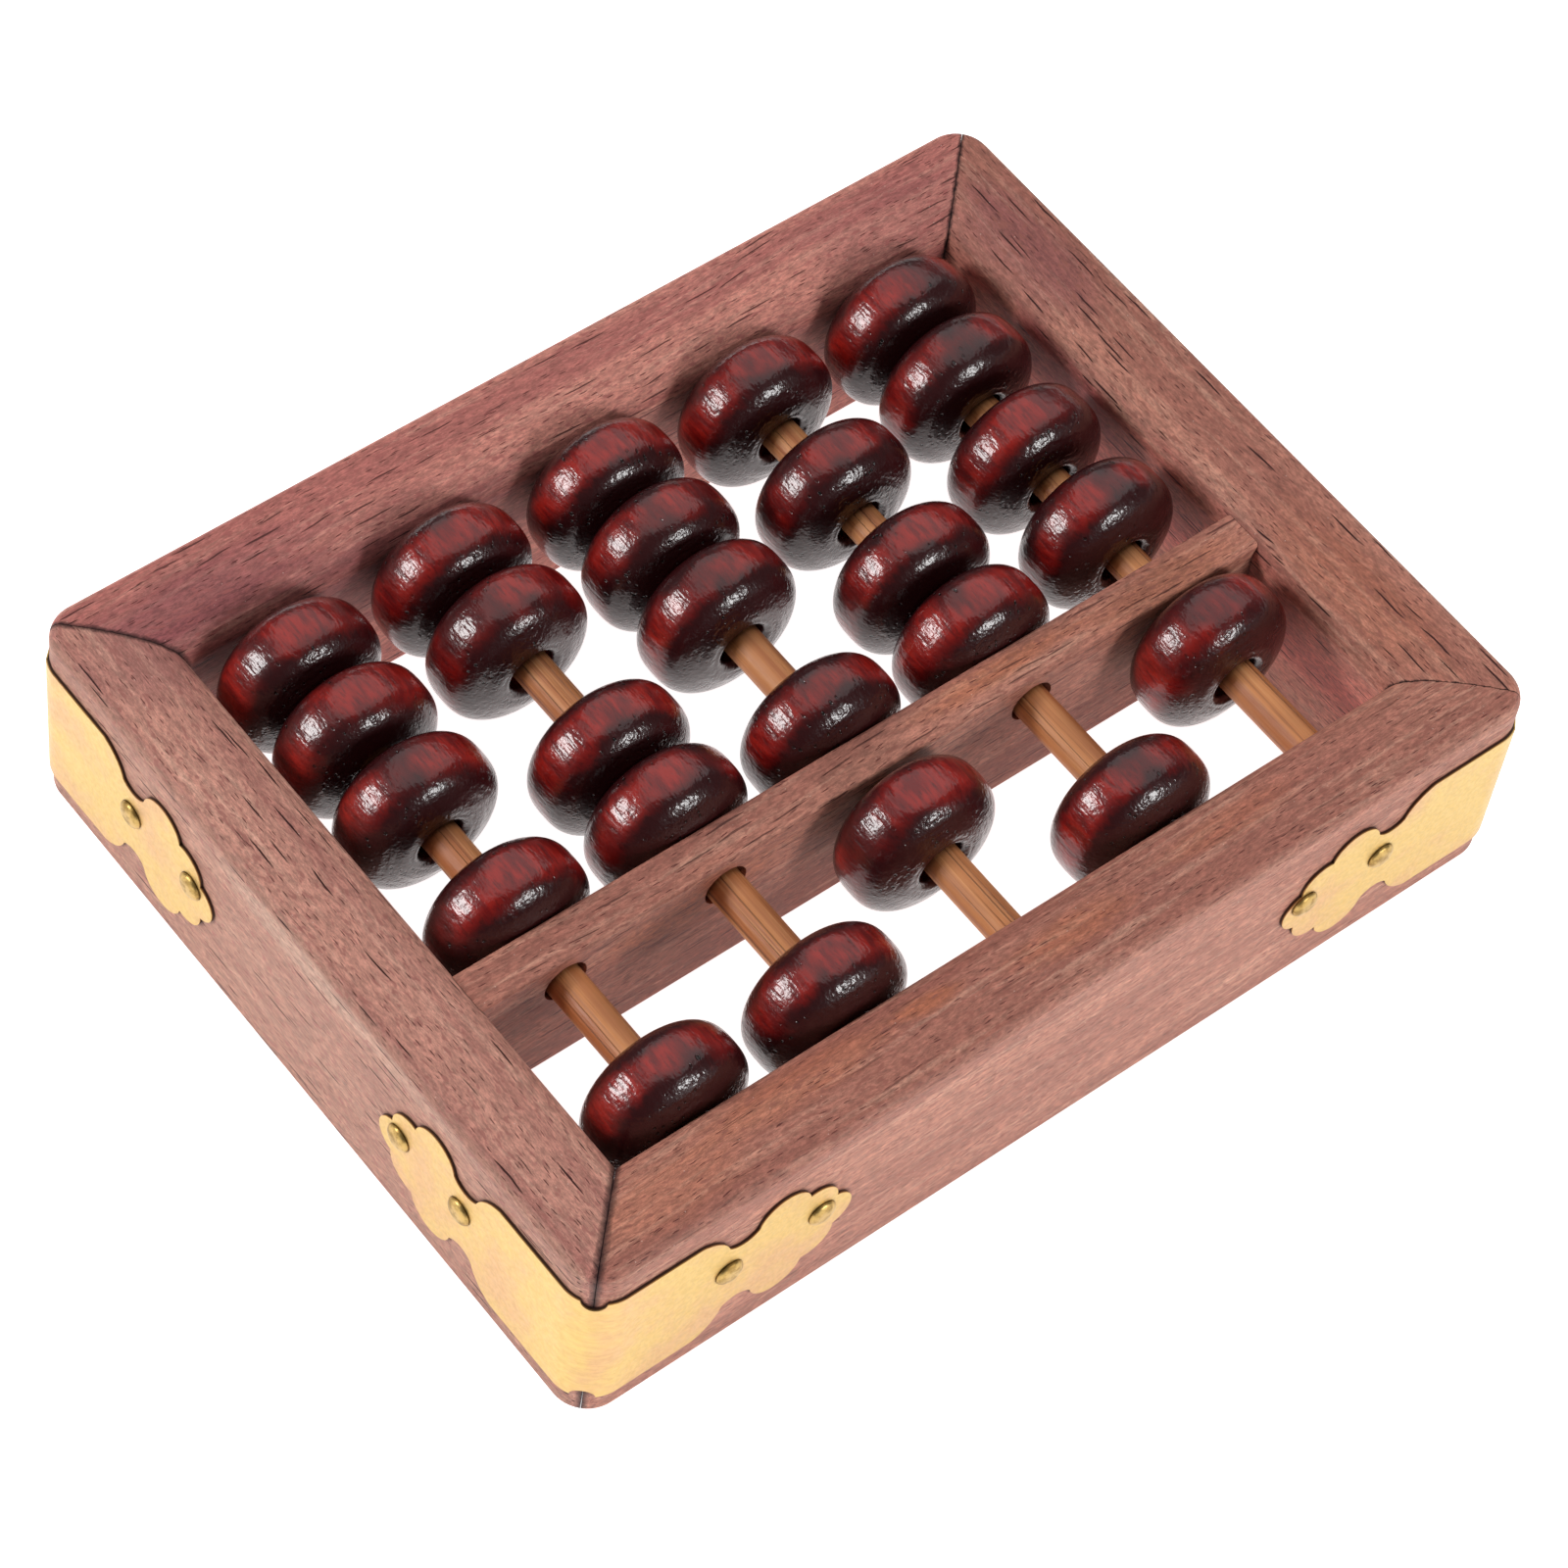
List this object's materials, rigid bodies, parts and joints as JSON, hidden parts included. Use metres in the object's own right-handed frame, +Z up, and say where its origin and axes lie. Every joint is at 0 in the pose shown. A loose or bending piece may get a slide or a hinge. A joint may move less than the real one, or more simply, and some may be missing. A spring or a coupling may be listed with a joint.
{
  "type": "abacus",
  "caption": "Small wooden counting frame: lacquered beads slide on bamboo rods through a dividing beam, with nailed brass plates round the corners.",
  "frame": {"origin": "middle of the footprint, on the surface the frame rests on", "axes": "+X along the long rails, +Y along the rods from the four-bead deck towards the one-bead deck, +Z up"},
  "size_m": [0.1024, 0.0796, 0.0238],
  "materials": {
    "frame_wood": "matte, open pored",
    "bead_lacquer": "glossy lacquer",
    "bamboo": "satin",
    "brass_sheet": "satin",
    "brass_nails": "aged"
  },
  "bodies": {
    "frame": {"rail_low": "frame_wood", "rail_high": "frame_wood", "rail_left": "frame_wood", "rail_right": "frame_wood", "beam": "frame_wood", "rod_1": "bamboo", "rod_2": "bamboo", "rod_3": "bamboo", "rod_4": "bamboo", "rod_5": "bamboo", "corner_plate_left_low": "brass_sheet", "corner_plate_left_high": "brass_sheet", "corner_plate_right_low": "brass_sheet", "corner_plate_right_high": "brass_sheet", "nails_left_low": "brass_nails", "nails_left_high": "brass_nails", "nails_right_low": "brass_nails", "nails_right_high": "brass_nails"},
    "earth_bead_1_1": {"earth_bead_1_1": "bead_lacquer"},
    "earth_bead_1_2": {"earth_bead_1_2": "bead_lacquer"},
    "earth_bead_1_3": {"earth_bead_1_3": "bead_lacquer"},
    "earth_bead_1_4": {"earth_bead_1_4": "bead_lacquer"},
    "heaven_bead_1": {"heaven_bead_1": "bead_lacquer"},
    "earth_bead_2_1": {"earth_bead_2_1": "bead_lacquer"},
    "earth_bead_2_2": {"earth_bead_2_2": "bead_lacquer"},
    "earth_bead_2_3": {"earth_bead_2_3": "bead_lacquer"},
    "earth_bead_2_4": {"earth_bead_2_4": "bead_lacquer"},
    "heaven_bead_2": {"heaven_bead_2": "bead_lacquer"},
    "earth_bead_3_1": {"earth_bead_3_1": "bead_lacquer"},
    "earth_bead_3_2": {"earth_bead_3_2": "bead_lacquer"},
    "earth_bead_3_3": {"earth_bead_3_3": "bead_lacquer"},
    "earth_bead_3_4": {"earth_bead_3_4": "bead_lacquer"},
    "heaven_bead_3": {"heaven_bead_3": "bead_lacquer"},
    "earth_bead_4_1": {"earth_bead_4_1": "bead_lacquer"},
    "earth_bead_4_2": {"earth_bead_4_2": "bead_lacquer"},
    "earth_bead_4_3": {"earth_bead_4_3": "bead_lacquer"},
    "earth_bead_4_4": {"earth_bead_4_4": "bead_lacquer"},
    "heaven_bead_4": {"heaven_bead_4": "bead_lacquer"},
    "earth_bead_5_1": {"earth_bead_5_1": "bead_lacquer"},
    "earth_bead_5_2": {"earth_bead_5_2": "bead_lacquer"},
    "earth_bead_5_3": {"earth_bead_5_3": "bead_lacquer"},
    "earth_bead_5_4": {"earth_bead_5_4": "bead_lacquer"},
    "heaven_bead_5": {"heaven_bead_5": "bead_lacquer"}
  },
  "joints": [
    {"name": "earth_bead_1_1_slide", "type": "slide", "parent": "frame", "child": "earth_bead_1_1", "axis": [0, 1, 0], "range_m": [0, 0.0017]},
    {"name": "earth_bead_1_2_slide", "type": "slide", "parent": "frame", "child": "earth_bead_1_2", "axis": [0, 1, 0], "range_m": [0, 0.0017]},
    {"name": "earth_bead_1_3_slide", "type": "slide", "parent": "frame", "child": "earth_bead_1_3", "axis": [0, 1, 0], "range_m": [-0.0017, 0.002]},
    {"name": "earth_bead_1_4_slide", "type": "slide", "parent": "frame", "child": "earth_bead_1_4", "axis": [0, 1, 0], "range_m": [-0.002, 0.00285]},
    {"name": "heaven_bead_1_slide", "type": "slide", "parent": "frame", "child": "heaven_bead_1", "axis": [0, 1, 0], "range_m": [-0.00025, 0.00905]},
    {"name": "earth_bead_2_1_slide", "type": "slide", "parent": "frame", "child": "earth_bead_2_1", "axis": [0, 1, 0], "range_m": [0, 0.00325]},
    {"name": "earth_bead_2_2_slide", "type": "slide", "parent": "frame", "child": "earth_bead_2_2", "axis": [0, 1, 0], "range_m": [-0.00325, 0.00305]},
    {"name": "earth_bead_2_3_slide", "type": "slide", "parent": "frame", "child": "earth_bead_2_3", "axis": [0, 1, 0], "range_m": [-0.00305, 0]},
    {"name": "earth_bead_2_4_slide", "type": "slide", "parent": "frame", "child": "earth_bead_2_4", "axis": [0, 1, 0], "range_m": [-0.00305, 0]},
    {"name": "heaven_bead_2_slide", "type": "slide", "parent": "frame", "child": "heaven_bead_2", "axis": [0, 1, 0], "range_m": [-0.0093, 0]},
    {"name": "earth_bead_3_1_slide", "type": "slide", "parent": "frame", "child": "earth_bead_3_1", "axis": [0, 1, 0], "range_m": [0, 0.00655]},
    {"name": "earth_bead_3_2_slide", "type": "slide", "parent": "frame", "child": "earth_bead_3_2", "axis": [0, 1, 0], "range_m": [0, 0.00655]},
    {"name": "earth_bead_3_3_slide", "type": "slide", "parent": "frame", "child": "earth_bead_3_3", "axis": [0, 1, 0], "range_m": [0, 0.00655]},
    {"name": "earth_bead_3_4_slide", "type": "slide", "parent": "frame", "child": "earth_bead_3_4", "axis": [0, 1, 0], "range_m": [-0.00655, 0]},
    {"name": "heaven_bead_3_slide", "type": "slide", "parent": "frame", "child": "heaven_bead_3", "axis": [0, 1, 0], "range_m": [-0.0006, 0.0087]},
    {"name": "earth_bead_4_1_slide", "type": "slide", "parent": "frame", "child": "earth_bead_4_1", "axis": [0, 1, 0], "range_m": [0, 0.00655]},
    {"name": "earth_bead_4_2_slide", "type": "slide", "parent": "frame", "child": "earth_bead_4_2", "axis": [0, 1, 0], "range_m": [0, 0.00655]},
    {"name": "earth_bead_4_3_slide", "type": "slide", "parent": "frame", "child": "earth_bead_4_3", "axis": [0, 1, 0], "range_m": [-0.00655, 0]},
    {"name": "earth_bead_4_4_slide", "type": "slide", "parent": "frame", "child": "earth_bead_4_4", "axis": [0, 1, 0], "range_m": [-0.00655, 0]},
    {"name": "heaven_bead_4_slide", "type": "slide", "parent": "frame", "child": "heaven_bead_4", "axis": [0, 1, 0], "range_m": [-0.0093, 0]},
    {"name": "earth_bead_5_1_slide", "type": "slide", "parent": "frame", "child": "earth_bead_5_1", "axis": [0, 1, 0], "range_m": [-0.0008, 0.00485]},
    {"name": "earth_bead_5_2_slide", "type": "slide", "parent": "frame", "child": "earth_bead_5_2", "axis": [0, 1, 0], "range_m": [-0.0008, 0.00485]},
    {"name": "earth_bead_5_3_slide", "type": "slide", "parent": "frame", "child": "earth_bead_5_3", "axis": [0, 1, 0], "range_m": [-0.0008, 0.00485]},
    {"name": "earth_bead_5_4_slide", "type": "slide", "parent": "frame", "child": "earth_bead_5_4", "axis": [0, 1, 0], "range_m": [-0.00485, 0]},
    {"name": "heaven_bead_5_slide", "type": "slide", "parent": "frame", "child": "heaven_bead_5", "axis": [0, 1, 0], "range_m": [-0.0093, 0]}
  ],
  "couplings": [
    {"joint": "earth_bead_1_2_slide", "follows": "earth_bead_1_1_slide", "ratio": 1},
    {"joint": "earth_bead_2_4_slide", "follows": "earth_bead_2_3_slide", "ratio": 1},
    {"joint": "earth_bead_3_2_slide", "follows": "earth_bead_3_1_slide", "ratio": 1},
    {"joint": "earth_bead_3_3_slide", "follows": "earth_bead_3_1_slide", "ratio": 1},
    {"joint": "earth_bead_4_2_slide", "follows": "earth_bead_4_1_slide", "ratio": 1},
    {"joint": "earth_bead_4_4_slide", "follows": "earth_bead_4_3_slide", "ratio": 1},
    {"joint": "earth_bead_5_2_slide", "follows": "earth_bead_5_1_slide", "ratio": 1},
    {"joint": "earth_bead_5_3_slide", "follows": "earth_bead_5_1_slide", "ratio": 1}
  ]
}
